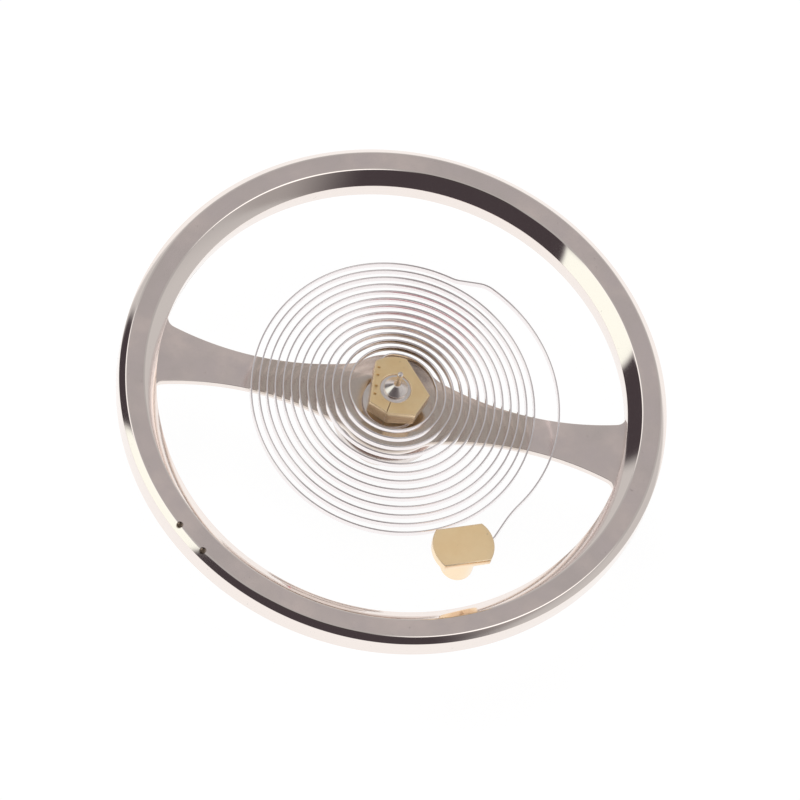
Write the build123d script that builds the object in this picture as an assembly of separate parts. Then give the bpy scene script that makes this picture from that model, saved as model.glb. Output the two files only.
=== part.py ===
from build123d import *
import math
import os

# Balance complete of a hand-wound wrist watch: rim, staff, rollers, collet, spring and stud.
# All sizes are in millimetres. +Z runs up the staff, the X axis lies along the two arms,
# and the origin is the tip of the lower pivot.

# Rim of the balance wheel
rim_radius = 5.0
rim_width = 0.70
rim_height = 0.54
outer_bevel_width = 0.115
outer_bevel_height = 0.10
inner_bevel_width = 0.25
inner_bevel_height = 0.20
foot_bevel = 0.04

# Arms and hub of the balance wheel
arm_thickness = 0.14
arm_waist_width = 0.69
arm_waist_radius = 2.55
arm_rim_angle = 8.24
arm_hub_angle = 42.0
hub_radius = 0.98
rim_corner_radius = 0.18
hub_corner_radius = 0.60

# Poising dimples drilled into the edge of the rim's top face
dimple_radius = 0.055
dimple_depth = 0.06
dimple_angles = [-133.3, -125.8]

# Balance staff, from the lower pivot's tip to the upper pivot's tip
pivot_radius = 0.05
pivot_tip_radius = 0.02
lower_pivot_length = 0.40
upper_pivot_length = 0.40
cone_height = 0.14
cone_bend_reach = 0.03
neck_radius = 0.215
neck_height = 0.06
safety_seat_radius = 0.26
safety_seat_height = 0.70
table_seat_radius = 0.30
table_seat_height = 0.60
flange_radius = 0.70
flange_height = 0.20
wheel_seat_radius = 0.45
rivet_radius = 0.52
rivet_height = 0.05
collet_shoulder_radius = 0.40
collet_shoulder_height = 0.18
collet_seat_radius = 0.285

# Collet: a split brass ring with five flats
collet_radius = 0.645
collet_height = 0.35
collet_proud = 0.02
collet_flat_angles = [40.3, 181.5, 247.2, 280.7, 338.0]
collet_flat_shares = [0.76, 0.671, 0.795, 0.817, 0.896]
collet_slit_width = 0.016
collet_slit_angle = -99.0
collet_bevel = 0.015
collet_lip_height = 0.05

# Rollers and impulse jewel
table_edge_width = 0.16
table_thickness = 0.20
table_bevel = 0.03
safety_radius = 0.55
safety_thickness = 0.26
safety_pipe_radius = 0.40
safety_pipe_height = 0.24
crescent_radius = 0.15
jewel_radius = 0.17
jewel_flat_depth = 0.11
jewel_length = 0.84
jewel_clearance = 0.06
jewel_angle = 90.0

# Hairspring strip and its inner end, which leaves the collet's slot by an elbow
strip_thickness = 0.031
strip_height = 0.14
inner_elbow_radius = 0.28
inner_tongue_length = 0.50
slot_clearance = 0.004

# Flat coil of half turns whose ends lie on one line through the staff. The gaps lie between
# the collet and the first coil, and the pitches are shares of the room inside the rim.
# Outwards the coil grows narrower across that line than along it, by up to the squeeze share.
coil_line_angle = 97.4
front_coil_gap = 0.085
back_coil_gap = 0.155
front_pitch_share = 0.03862
back_pitch_share = 0.04704
coil_half_turns = 26
coil_squeeze_share = 0.0376
coil_end_angle = 45.0
coil_last_angle = 21.23

# Outer end of the hairspring: the dogleg, the regulator arc and the lead to the stud.
# Its lengths and radii are shares of the room inside the rim too.
knee_radius_share = 0.13666
knee_out_angle = 18.18
knee_length_share = 0.09728
knee_in_angle = 31.07
regulator_arc_share = 0.80438
regulator_arc_angle = 95.28
lead_out_share = 0.65659
lead_out_angle = 11.0
lead_length_share = 0.09303
lead_in_share = 0.1231
lead_in_angle = 24.0
stud_reach_share = 0.16693

# Stud: a head with two flats over a round foot, and its taper pin
stud_head_radius = 0.565
stud_head_width = 0.74
stud_head_thickness = 0.175
stud_head_angle = 22.4
stud_foot_radius = 0.30
stud_foot_bevel = 0.03
stud_arm_clearance = 0.115
strip_tail = 0.06
stud_spring_drop = 0.345
stud_hole_radius = 0.095
pin_taper_share = 0.86
pin_stand_out = 0.065

# Heights of the pieces above the lower pivot's tip
lower_neck_base = lower_pivot_length + cone_height
safety_seat_base = lower_neck_base + neck_height
table_seat_base = safety_seat_base + safety_seat_height
flange_base = table_seat_base + table_seat_height
wheel_base = flange_base + flange_height
arm_top = wheel_base + arm_thickness
rim_top = wheel_base + rim_height
rivet_top = arm_top + rivet_height
collet_base = rivet_top + collet_shoulder_height
collet_top = collet_base + collet_height
collet_seat_top = collet_top - collet_proud
upper_neck_top = collet_seat_top + neck_height
upper_pivot_base = upper_neck_top + cone_height
staff_top = upper_pivot_base + upper_pivot_length
spring_base = collet_top - collet_lip_height - strip_height
stud_hole_level = spring_base + strip_height / 2
stud_head_base = stud_hole_level + stud_spring_drop
stud_foot_length = stud_head_base - arm_top - stud_arm_clearance

# Widths that follow from the sizes above
rim_inner_radius = rim_radius - rim_width
spring_room = rim_inner_radius - collet_radius
jewel_place_radius = safety_radius + jewel_clearance + jewel_radius
table_radius = jewel_place_radius + jewel_radius - jewel_flat_depth + table_edge_width
pin_length = 2 * (stud_foot_radius + pin_stand_out)
cut_overrun = 2 * rim_radius


def polar(radius, angle):
    return radius * math.cos(math.radians(angle)), radius * math.sin(math.radians(angle))


# A strip's centre line is a list of tangent pieces. Each is (start point, heading, length, turn):
# a straight piece has no turn, and an arc turns by so many degrees, to the left when positive.

def radius_of(length, turn):
    return length / math.radians(abs(turn))


def centre_of(point, heading, length, turn):
    side = math.copysign(90, turn)
    reach = polar(radius_of(length, turn), heading + side)
    return point[0] + reach[0], point[1] + reach[1]


def end_of(point, heading, length, turn):
    if turn == 0:
        step = polar(length, heading)
        return point[0] + step[0], point[1] + step[1]
    centre = centre_of(point, heading, length, turn)
    side = math.copysign(90, turn)
    reach = polar(radius_of(length, turn), heading + turn - side)
    return centre[0] + reach[0], centre[1] + reach[1]


def walk(point, heading, moves):
    pieces = []
    for length, turn in moves:
        pieces.append((point, heading, length, turn))
        point = end_of(point, heading, length, turn)
        heading = heading + turn
    return pieces, point, heading


def arc(radius, turn):
    return radius * math.radians(abs(turn)), turn


def side_edge(piece, shift):
    point, heading, length, turn = piece
    if turn == 0:
        offset = polar(shift, heading + 90)
        start = (point[0] + offset[0], point[1] + offset[1])
        return Line(start, end_of(start, heading, length, turn))
    centre = centre_of(point, heading, length, turn)
    side = math.copysign(90, turn)
    radius = radius_of(length, turn) - math.copysign(1, turn) * shift
    return CenterArc(centre, radius, heading - side, turn)


def ribbon(pieces, width, height, base):
    left = [side_edge(piece, width / 2) for piece in pieces]
    right = [side_edge(piece, -width / 2) for piece in pieces]
    caps = [Line(left[0] @ 0, right[0] @ 0), Line(left[-1] @ 1, right[-1] @ 1)]
    outline = make_face(left + right + caps)
    return Pos(0, 0, base) * extrude(outline, height)


def coil_origin():
    return polar(collet_radius + front_coil_gap, coil_line_angle)


def inner_moves():
    # The slot runs along the collet's second flat, midway between that flat and the bore.
    slot_distance = (collet_seat_radius + collet_flat_shares[1] * collet_radius) / 2
    slot_turn = collet_flat_angles[1] - coil_line_angle
    start = math.hypot(*coil_origin()) * math.cos(math.radians(slot_turn))
    bend = inner_elbow_radius * (1 - math.cos(math.radians(slot_turn)))
    lead = (slot_distance - start - bend) / math.sin(math.radians(slot_turn))
    return [(lead, 0), arc(inner_elbow_radius, slot_turn), (inner_tongue_length, 0)]


def inner_end():
    return walk(coil_origin(), coil_line_angle + 90, inner_moves())[0]


def coil_radius(step):
    # Half of a half turn's width: from the front end of one coil to the back end of the same or the next.
    front = front_coil_gap + (step + 1) // 2 * front_pitch_share * spring_room
    back = back_coil_gap + step // 2 * back_pitch_share * spring_room
    return collet_radius + (front + back) / 2


def half_turn_radii(step):
    # The end arcs of a half turn are tighter and its middle arc is flatter than a round half turn.
    squeeze = coil_squeeze_share * step / coil_half_turns
    across = math.sin(math.radians(coil_end_angle))
    along = math.cos(math.radians(coil_end_angle))
    excess = across + along - 1
    end_radius = coil_radius(step) * (1 - squeeze * along / excess)
    middle_radius = coil_radius(step) * (1 + squeeze * (1 - along) / excess)
    return end_radius, middle_radius


def outer_moves():
    moves = []
    for step in range(coil_half_turns):
        end_radius, middle_radius = half_turn_radii(step)
        moves.append(arc(end_radius, -coil_end_angle))
        moves.append(arc(middle_radius, 2 * coil_end_angle - 180))
        moves.append(arc(end_radius, -coil_end_angle))
    moves.append(arc(half_turn_radii(coil_half_turns)[0], -coil_last_angle))
    moves.append(arc(knee_radius_share * spring_room, knee_out_angle))
    moves.append((knee_length_share * spring_room, 0))
    moves.append(arc(knee_radius_share * spring_room, -knee_in_angle))
    moves.append(arc(regulator_arc_share * spring_room, -regulator_arc_angle))
    moves.append(arc(lead_out_share * spring_room, lead_out_angle))
    moves.append((lead_length_share * spring_room, 0))
    moves.append(arc(lead_in_share * spring_room, -lead_in_angle))
    moves.append((stud_reach_share * spring_room, 0))
    return moves


def outer_end():
    return walk(coil_origin(), coil_line_angle - 90, outer_moves())


def balance_wheel():
    outer_foot = rim_radius - foot_bevel
    inner_foot = rim_inner_radius + foot_bevel
    outline = [
        (inner_foot, wheel_base),
        (outer_foot, wheel_base),
        (rim_radius, wheel_base + foot_bevel),
        (rim_radius, rim_top - outer_bevel_height),
        (rim_radius - outer_bevel_width, rim_top),
        (rim_inner_radius + inner_bevel_width, rim_top),
        (rim_inner_radius, rim_top - inner_bevel_height),
        (rim_inner_radius, wheel_base + foot_bevel),
    ]
    rim = turned(outline)
    web = Circle((rim_inner_radius + outer_foot) / 2)
    for side in (1, -1):
        web -= arm_window(side)
    wheel = rim + Pos(0, 0, wheel_base) * extrude(web, arm_thickness)
    wheel -= Pos(0, 0, wheel_base) * Cylinder(wheel_seat_radius, cut_overrun)
    dimple_place = rim_radius - outer_bevel_width
    for angle in dimple_angles:
        spot = polar(dimple_place, angle)
        wheel -= Pos(spot[0], spot[1], rim_top) * Cylinder(dimple_radius, 2 * dimple_depth)
    return wheel


def arm_window(side):
    # Each flank leaves the arm's waist along the arm and bends out to the rim one way
    # and to the hub the other way.
    waist = arm_waist_width / 2
    at_rim = polar(rim_inner_radius, arm_rim_angle)
    at_hub = polar(hub_radius, arm_hub_angle)
    edges = [
        CenterArc((0, 0), rim_inner_radius, arm_rim_angle, 180 - 2 * arm_rim_angle),
        CenterArc((0, 0), hub_radius, arm_hub_angle, 180 - 2 * arm_hub_angle),
    ]
    for way in (1, -1):
        start = (way * arm_waist_radius, waist)
        edges.append(TangentArc(start, (way * at_rim[0], at_rim[1]), tangent=(way, 0)))
        edges.append(TangentArc(start, (way * at_hub[0], at_hub[1]), tangent=(-way, 0)))
    window = make_face(edges)
    corners = window.vertices().sort_by(lambda v: math.hypot(v.X, v.Y))
    window = fillet(corners[-2:], rim_corner_radius)
    corners = window.vertices().sort_by(lambda v: math.hypot(v.X, v.Y))
    window = fillet(corners[:2], hub_corner_radius)
    return Rot(0, 0, 90 - side * 90) * window


def turned(outline):
    return revolve(Plane.XZ * make_face(Polyline(*outline, close=True)), Axis.Z)


def cone(pivot_level, neck_level):
    # A cone from the neck to the pivot's level, bent into the upright pivot by a small arc.
    width = neck_radius - pivot_radius
    rise = neck_level - pivot_level
    bend_share = cone_bend_reach / math.hypot(width, rise)
    start = (pivot_radius, pivot_level - math.copysign(cone_bend_reach, rise))
    end = (pivot_radius + bend_share * width, pivot_level + bend_share * rise)
    bend = TangentArc(start, end, tangent=(0, rise))
    return [bend, Line(end, (neck_radius, neck_level))]


def balance_staff():
    lower = cone(lower_pivot_length, lower_neck_base)
    upper = cone(upper_pivot_base, upper_neck_top)
    steps = [
        (neck_radius, lower_neck_base),
        (neck_radius, safety_seat_base),
        (safety_seat_radius, safety_seat_base),
        (safety_seat_radius, table_seat_base),
        (table_seat_radius, table_seat_base),
        (table_seat_radius, flange_base),
        (flange_radius, flange_base),
        (flange_radius, wheel_base),
        (wheel_seat_radius, wheel_base),
        (wheel_seat_radius, arm_top),
        (rivet_radius, arm_top),
        (rivet_radius, rivet_top),
        (collet_shoulder_radius, rivet_top),
        (collet_shoulder_radius, collet_base),
        (collet_seat_radius, collet_base),
        (collet_seat_radius, collet_seat_top),
        (neck_radius, collet_seat_top),
        (neck_radius, upper_neck_top),
    ]
    tip = pivot_radius - pivot_tip_radius
    foot = [(0, 0), (tip, 0), (pivot_radius, pivot_tip_radius), lower[0] @ 0]
    head = [
        upper[0] @ 0,
        (pivot_radius, staff_top - pivot_tip_radius),
        (tip, staff_top),
        (0, staff_top),
    ]
    edges = [Polyline(*foot), *lower, Polyline(*steps), *upper, Polyline(*head)]
    edges.append(Line((0, staff_top), (0, 0)))
    return revolve(Plane.XZ * make_face(edges), Axis.Z)


def collet():
    ring = turned([
        (collet_seat_radius, collet_base),
        (collet_radius - collet_bevel, collet_base),
        (collet_radius, collet_base + collet_bevel),
        (collet_radius, collet_top - collet_bevel),
        (collet_radius - collet_bevel, collet_top),
        (collet_seat_radius, collet_top),
    ])
    cutter = Box(2 * collet_radius, 2 * collet_radius, cut_overrun)
    for angle, share in zip(collet_flat_angles, collet_flat_shares):
        ring -= Rot(0, 0, angle) * Pos((1 + share) * collet_radius, 0, collet_top) * cutter
    slit = Box(collet_radius * 2, collet_slit_width, cut_overrun)
    ring -= Rot(0, 0, collet_slit_angle) * Pos(collet_radius, 0, collet_top) * slit
    groove_depth = collet_top - spring_base
    groove = ribbon(inner_end(), strip_thickness + 2 * slot_clearance, 2 * groove_depth, spring_base)
    return ring - groove


def hairspring():
    inner = [reverse_piece(piece) for piece in reversed(inner_end())]
    outer, place, heading = outer_end()
    tail = (place, heading, stud_foot_radius + strip_tail, 0)
    return ribbon(inner + outer + [tail], strip_thickness, strip_height, spring_base)


def reverse_piece(piece):
    point, heading, length, turn = piece
    return end_of(*piece), heading + turn + 180, length, -turn


def roller_table():
    low = flange_base - table_thickness
    disc = turned([
        (table_seat_radius, low),
        (table_radius - table_bevel, low),
        (table_radius, low + table_bevel),
        (table_radius, flange_base - table_bevel),
        (table_radius - table_bevel, flange_base),
        (table_seat_radius, flange_base),
    ])
    return disc - jewel_column(2 * table_radius)


def jewel_column(length):
    section = Circle(jewel_radius)
    section -= Pos(2 * jewel_radius - jewel_flat_depth, 0) * Rectangle(2 * jewel_radius, 2 * jewel_radius)
    column = Pos(jewel_place_radius, 0, flange_base - length) * extrude(section, length)
    return Rot(0, 0, jewel_angle) * column


def impulse_jewel():
    return jewel_column(jewel_length)


def safety_roller():
    pipe_top = table_seat_base
    pipe_foot = pipe_top - safety_pipe_height
    low = pipe_foot - safety_thickness
    roller = turned([
        (safety_seat_radius, low),
        (safety_radius, low),
        (safety_radius, pipe_foot),
        (safety_pipe_radius, pipe_foot),
        (safety_pipe_radius, pipe_top),
        (safety_seat_radius, pipe_top),
    ])
    spot = polar(safety_radius, jewel_angle)
    return roller - Pos(spot[0], spot[1], low) * Cylinder(crescent_radius, 2 * safety_thickness)


def strip_shift():
    # The strip lies against one side of the stud's round hole, beside the pin.
    reach = math.sqrt(stud_hole_radius ** 2 - (strip_height / 2) ** 2)
    return reach - strip_thickness / 2 - slot_clearance


def stud_place():
    place, heading = outer_end()[1:]
    offset = polar(strip_shift(), heading - 90)
    return place[0] + offset[0], place[1] + offset[1], heading


def stud():
    x, y, heading = stud_place()
    head = Circle(stud_head_radius) & Rectangle(2 * stud_head_radius, stud_head_width)
    body = Rot(0, 0, stud_head_angle) * extrude(head, stud_head_thickness)
    foot = Pos(0, 0, -stud_foot_length) * extrude(Circle(stud_foot_radius), stud_foot_length)
    foot = chamfer(foot.edges().sort_by(Axis.Z)[0], stud_foot_bevel)
    bore = Rot(0, 90, 0) * Cylinder(stud_hole_radius, 2 * stud_head_radius)
    bore = Pos(0, 0, -stud_spring_drop) * Rot(0, 0, heading) * bore
    return Pos(x, y, stud_head_base) * (body + foot - bore)


def stud_pin():
    x, y, heading = stud_place()
    room = stud_hole_radius + strip_shift() - strip_thickness / 2
    large = room / 2 - slot_clearance
    side = polar(stud_hole_radius - large - slot_clearance, heading - 90)
    pin = Rot(0, 90, 0) * Cone(large, large * pin_taper_share, pin_length)
    return Pos(x + side[0], y + side[1], stud_hole_level) * Rot(0, 0, heading) * pin


def centre_points(pieces, step):
    points = []
    for point, heading, length, turn in pieces:
        count = math.ceil(length / step)
        for index in range(count):
            part = index / count
            points.append(end_of(point, heading, length * part, turn * part))
    return points


def least_gap(pieces, step, apart):
    # Least free distance between turns, from points on the centre line more than "apart" steps away.
    points = centre_points(pieces, step)
    best = cut_overrun
    for index, first in enumerate(points):
        for second in points[index + apart:]:
            best = min(best, math.dist(first, second))
    return best - strip_thickness


NODES = {
    "balance_wheel": balance_wheel,
    "balance_staff": balance_staff,
    "collet": collet,
    "hairspring": hairspring,
    "roller_table": roller_table,
    "safety_roller": safety_roller,
    "impulse_jewel": impulse_jewel,
    "stud": stud,
    "stud_pin": stud_pin,
}

os.makedirs("parts", exist_ok=True)
for node, make in NODES.items():
    solid = make()
    solid.label = node
    export_step(solid, f"parts/{node}.step")
    print(node, "volume", round(solid.volume, 5))

coil = outer_end()[0]
sample = strip_height
turn_samples = int(math.pi * coil_radius(0) / sample)
print("hairspring length", round(sum(piece[2] for piece in coil), 1))
print("least gap between turns", round(least_gap(coil, sample, turn_samples), 3))
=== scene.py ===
import bmesh
import bpy
from math import acos, asin, atan2, ceil, copysign, cos, degrees, pi, radians, sin, sqrt, tan
from mathutils import Matrix, Vector
from mathutils.geometry import tessellate_polygon


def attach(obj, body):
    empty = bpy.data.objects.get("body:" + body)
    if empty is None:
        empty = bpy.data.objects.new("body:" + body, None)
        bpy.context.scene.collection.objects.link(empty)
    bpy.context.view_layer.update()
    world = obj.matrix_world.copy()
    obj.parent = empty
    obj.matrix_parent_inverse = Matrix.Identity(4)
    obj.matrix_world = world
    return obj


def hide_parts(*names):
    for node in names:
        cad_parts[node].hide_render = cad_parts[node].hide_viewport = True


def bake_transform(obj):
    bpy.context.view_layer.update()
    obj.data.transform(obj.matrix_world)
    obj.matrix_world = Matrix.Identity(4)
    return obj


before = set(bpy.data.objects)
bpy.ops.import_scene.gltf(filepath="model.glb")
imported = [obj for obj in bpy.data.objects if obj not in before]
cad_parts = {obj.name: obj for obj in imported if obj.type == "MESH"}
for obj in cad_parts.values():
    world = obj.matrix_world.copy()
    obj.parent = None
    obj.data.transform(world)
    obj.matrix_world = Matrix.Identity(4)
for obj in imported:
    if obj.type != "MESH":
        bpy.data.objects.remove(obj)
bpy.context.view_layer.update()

# Sizes are in millimetres, as a watchmaker gives them, and become metres where a mesh is made.
MM = 0.001

# Corners closer together than these are one corner, a smaller radius lies on the axis, and a
# piece of line that turns by fewer degrees is straight
weld_reach = 0.0002
same_point_reach = 0.00001
axis_reach = 0.000001
straight_turn = 1e-9

# Outlines: how many times the shift a sharp corner may move, the share of a side that a round
# corner may take, and the turn in degrees from which a corner is rounded
mitre_limit = 2
corner_share = 0.45
least_corner = 20

# Rim, arms and hub
rim_radius = 5.0
rim_inner_radius = 4.30
outer_bevel_width = 0.115
outer_bevel_height = 0.10
inner_bevel_width = 0.25
inner_bevel_height = 0.20
foot_bevel = 0.04
wheel_edge_round = 0.013
rim_top_round = 0.07
arm_waist_half_width = 0.345
arm_waist_radius = 2.55
arm_rim_angle = 8.24
arm_hub_angle = 42.0
arm_root_radius = 4.62
arm_root_bite = 0.006
hub_radius = 0.98
rim_corner_radius = 0.18
hub_corner_radius = 0.60
wheel_seat_radius = 0.45
dimple_radius = 0.055
dimple_depth = 0.06
dimple_angles = [-133.3, -125.8]

# Heights above the lower pivot's tip
safety_low = 0.80
safety_pipe_low = 1.06
safety_pipe_top = 1.30
table_low = 1.70
table_top = 1.90
wheel_base = 2.10
arm_top = 2.24
rivet_top = 2.29
collet_base = 2.47
spring_base = 2.63
spring_top = 2.77
collet_seat_top = 2.80
collet_top = 2.82
rim_top = 2.64
staff_top = 3.40

# Staff
pivot_radius = 0.05
pivot_tip_radius = 0.02
pivot_length = 0.40
cone_height = 0.14
cone_bend_reach = 0.03
neck_radius = 0.215
neck_height = 0.06
safety_seat_radius = 0.26
table_seat_radius = 0.30
flange_radius = 0.70
rivet_radius = 0.52
collet_shoulder_radius = 0.40
collet_seat_radius = 0.285
staff_edge_round = 0.010

# Collet. Each flat has the direction that it faces and its distance as a share of the radius.
# The spring's slot starts in one of them.
collet_radius = 0.645
collet_flats = [(40.3, 0.76), (181.5, 0.671), (247.2, 0.795), (280.7, 0.817), (338.0, 0.896)]
slot_flat = 1
collet_slit_width = 0.007
collet_slit_angle = -99.0
collet_edge_round = 0.013
tunnel_clearance = 0.004
staking_mark_width = 0.05
staking_mark_depth = 0.04
staking_mark_places = [0.07, 0.225, 0.445, 0.61]
staking_mark_lengths = [0.035, 0.04, 0.10, 0.045]

# Rollers and jewel
table_radius = 1.0
safety_radius = 0.55
safety_pipe_radius = 0.40
crescent_radius = 0.149
jewel_radius = 0.17
jewel_flat_depth = 0.11
jewel_clearance = 0.002
jewel_place_radius = 0.78
jewel_bottom = 1.06
jewel_angle = 90.0
table_edge_round = 0.02
safety_edge_round = 0.012
jewel_edge_round = 0.012

# Hairspring
strip_thickness = 0.031
strip_edge_round = 0.012
inner_elbow_radius = 0.28
inner_tongue_length = 0.50
coil_line_angle = 97.4
front_coil_gap = 0.085
back_coil_gap = 0.155
front_pitch = 0.141155
back_pitch = 0.171939
coil_half_turns = 26
coil_squeeze = 0.0376
coil_end_angle = 45.0
coil_last_angle = 21.23
knee_radius = 0.4995
knee_out_angle = 18.18
knee_length = 0.35557
knee_in_angle = 31.07
regulator_arc_radius = 2.94002
regulator_arc_angle = 95.28
lead_out_radius = 2.39982
lead_out_angle = 11.0
lead_length = 0.34003
lead_in_radius = 0.44992
lead_in_angle = 24.0
stud_reach = 0.61013
stud_tail = 0.36

# Stud and its pin
stud_head_radius = 0.565
stud_head_half_width = 0.37
stud_head_base = 3.045
stud_head_top = 3.22
stud_head_angle = 22.4
stud_foot_radius = 0.30
stud_foot_bottom = 2.355
stud_foot_bevel = 0.03
stud_edge_round = 0.014
stud_foot_round = 0.01
stud_hole_level = 2.70
stud_hole_radius = 0.095
pin_large_radius = 0.0581
pin_small_radius = 0.0500
pin_length = 0.73
pin_edge_round = 0.015

# How far a cutter runs past what it cuts
cutter_overrun = 0.1

# Finish: the bands of noise in which a tone changes, and how strongly each mark shows
blotch_band = (0.38, 0.62)
stain_band = (0.42, 0.66)
stain_offset = (7.0, 3.0, 11.0)
stain_size_share = 1.9
speck_threshold = 0.70
speck_contrast = 12.0
speck_strength = 0.35
speck_tone = 0.45
rubbed_edge_width = 0.02
rubbed_contrast = 6.0
rubbed_strength = 0.5
turned_band_size = 4.0
ground_band_size = 6.0
grain_share = 0.25

# Shading: edges sharper than this angle stay sharp, and how far broad faces set the normals
crease_angle = 35
broad_face_weight = 95

# Blender's Mix node names its number and colour sockets alike, so they are found by number: the
# factor and both colours, and the mixed colour
mix_sources = (0, 6, 7)
mix_result = 2

# Faces round turned shapes and steps along curves
rim_segments = 480
disc_segments = 256
staff_segments = 192
foot_segments = 128
bore_segments = 96
crescent_segments = 64
rod_segments = 48
dimple_segments = 32
collet_steps = 144
jewel_steps = 40
head_steps = 32
corner_steps = 16
flank_steps = 24
hub_steps = 20
edge_steps = 4
strip_edge_steps = 3
station_length = 0.12
station_angle = 2.5
card_step_angle = 1.5

# Studio. The photograph looks down at 61.6 degrees, turned about the line of sight. The aim is
# how far right of and above the rim's centre the picture's middle lies.
camera_swing = 7.6
camera_tilt = 28.4
camera_roll = 19.2
camera_aim = (0.1045, -0.1280)
camera_distance = 333.3
camera_lens = 832.2
lamp_place = (-120, 100, 360)
lamp_size = 300
lamp_watts = 0.35
floor_half_size = 600
floor_glow = 0.90
floor_shadow_tone = 0.15
floor_bounce_tone = 0.8
world_light = 0.65

# Cards round the studio: name, azimuths, elevations, fades at the west, east, low and high edges,
# colour, strength, distance
card_white = (1, 0.99, 0.985)
flag_tone = (1.0, 0.80, 0.91)
studio_cards = [
    ("wall_card", (-180, 180), (-0.3, 60), (0, 0, 3, 0), card_white, 0.62, 350),
    ("ceiling_card", (-180, 180), (14, 90), (0, 0, 24, 0), (1, 0.985, 0.985), 0.465, 330),
    ("key_card", (-66, 18), (40, 75), (10, 8, 6, 8), card_white, 1.42, 320),
    ("left_card", (132, 212), (32, 57), (6, 8, 4, 5), card_white, 1.16, 320),
    ("camera_side_flag", (-142.5, -26), (21, 56), (0.6, 34, 3, 8), flag_tone, 0.062, 300),
    ("grey_card", (-64, -4), (26, 50), (4, 22, 4, 6), (1.0, 0.95, 0.94), 0.395, 310),
    ("side_flag", (144, 176), (2, 31), (5, 0.6, 5, 1.5), flag_tone, 0.062, 300),
    ("cream_card", (-184.2, -142), (12, 46), (0.6, 0.6, 4, 6), (0.95, 1.0, 0.93), 1.17, 310),
    ("lens_card", (-130, -66), (48, 76), (12, 12, 4, 8), (1.0, 0.86, 0.80), 0.05, 290),
]


# ---- Points and outlines

def polar(radius, angle):
    turn = radians(angle)
    return Vector((radius * cos(turn), radius * sin(turn)))


def bearing(point):
    return degrees(atan2(point[1], point[0]))


def arc_points(centre, radius, start, end, count):
    sweep = end - start
    return [centre + polar(radius, start + sweep * step / count) for step in range(count + 1)]


def circle(radius, count, way=1):
    return [polar(radius, way * 360 * step / count) for step in range(count)]


def without_repeats(loop):
    kept = []
    for point in loop:
        if not kept or (point - kept[-1]).length > same_point_reach:
            kept.append(point)
    if (kept[0] - kept[-1]).length < same_point_reach:
        kept.pop()
    return kept


def crossing(first, first_radius, second, second_radius, side):
    # Where two circles meet. The side says which of the two places is wanted.
    gap = second - first
    along = (first_radius ** 2 - second_radius ** 2 + gap.length_squared) / (2 * gap.length)
    across = sqrt(first_radius ** 2 - along ** 2)
    unit = gap.normalized()
    return first + unit * along + Vector((-unit.y, unit.x)) * side * across


def shifted(loop, distance):
    # Every point moves to the left of the way that the loop runs, which is into the metal.
    moved = []
    count = len(loop)
    for index, here in enumerate(loop):
        back = (here - loop[index - 1]).normalized()
        ahead = (loop[(index + 1) % count] - here).normalized()
        side = Vector((-back.y, back.x))
        mean = (side + Vector((-ahead.y, ahead.x))).normalized()
        moved.append(here + mean * (distance / max(mean.dot(side), 1 / mitre_limit)))
    return moved


def rounded(outline, radius, steps=edge_steps):
    # Each corner of a closed outline that is off the axis and not nearly straight becomes an arc.
    # A corner that has a third number has its own radius.
    points = [Vector(point[:2]) for point in outline]
    count = len(points)
    result = []
    for index, corner in enumerate(points):
        back = points[index - 1] - corner
        ahead = points[(index + 1) % count] - corner
        inside = back.angle(ahead)
        if corner.x < axis_reach or 180 - degrees(inside) < least_corner:
            result.append(corner)
            continue
        own = outline[index][2] if len(outline[index]) > 2 else radius
        room = corner_share * min(back.length, ahead.length)
        reach = min(own / tan(inside / 2), room)
        start = corner + back.normalized() * reach
        middle = (back.normalized() + ahead.normalized()).normalized()
        centre = corner + middle * (reach / cos(inside / 2))
        spoke = start - centre
        way = 1 if back.cross(ahead) < 0 else -1
        for step in range(steps + 1):
            turn = way * (pi - inside) * step / steps
            result.append(centre + Matrix.Rotation(turn, 2) @ spoke)
    return result


# ---- Meshes

def new_mesh(name, points, faces):
    mesh = bpy.data.meshes.new(name)
    mesh.from_pydata([Vector(point) * MM for point in points], [], faces)
    return mesh


def in_scene(name, data):
    # An object of the scene that holds this mesh, light or camera.
    thing = bpy.data.objects.new(name, data)
    bpy.context.collection.objects.link(thing)
    return thing


def finished(name, points, faces):
    # An object whose faces all look outwards.
    mesh = new_mesh(name, points, faces)
    shell = bmesh.new()
    shell.from_mesh(mesh)
    bmesh.ops.recalc_face_normals(shell, faces=shell.faces)
    shell.to_mesh(mesh)
    shell.free()
    mesh.update()
    return in_scene(name, mesh)


def bridge(first, second):
    # A band of four-sided faces between two rings of corners.
    count = len(first)
    faces = []
    for index in range(count):
        after = (index + 1) % count
        faces.append((first[index], first[after], second[after], second[index]))
    return faces


def turned(name, outline, segments):
    # A closed outline of (radius, height) points is turned about the staff's axis.
    points, rings = [], []
    for radius, height in outline:
        if radius < axis_reach:
            rings.append([len(points)])
            points.append((0, 0, height))
            continue
        rings.append(list(range(len(points), len(points) + segments)))
        points += [(*polar(radius, 360 * step / segments), height) for step in range(segments)]
    faces = []
    for index, ring in enumerate(rings):
        before = rings[index - 1]
        if len(ring) == 1 and len(before) == 1:
            continue
        if len(ring) > 1 and len(before) > 1:
            faces += bridge(before, ring)
            continue
        tip, round_ring = (ring[0], before) if len(ring) == 1 else (before[0], ring)
        for step in range(segments):
            faces.append((tip, round_ring[step], round_ring[(step + 1) % segments]))
    return finished(name, points, faces)


def round_cutter(name, outline, segments, place):
    cutter = turned(name, outline, segments)
    cutter.location = (place.x * MM, place.y * MM, 0)
    return cutter


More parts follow.
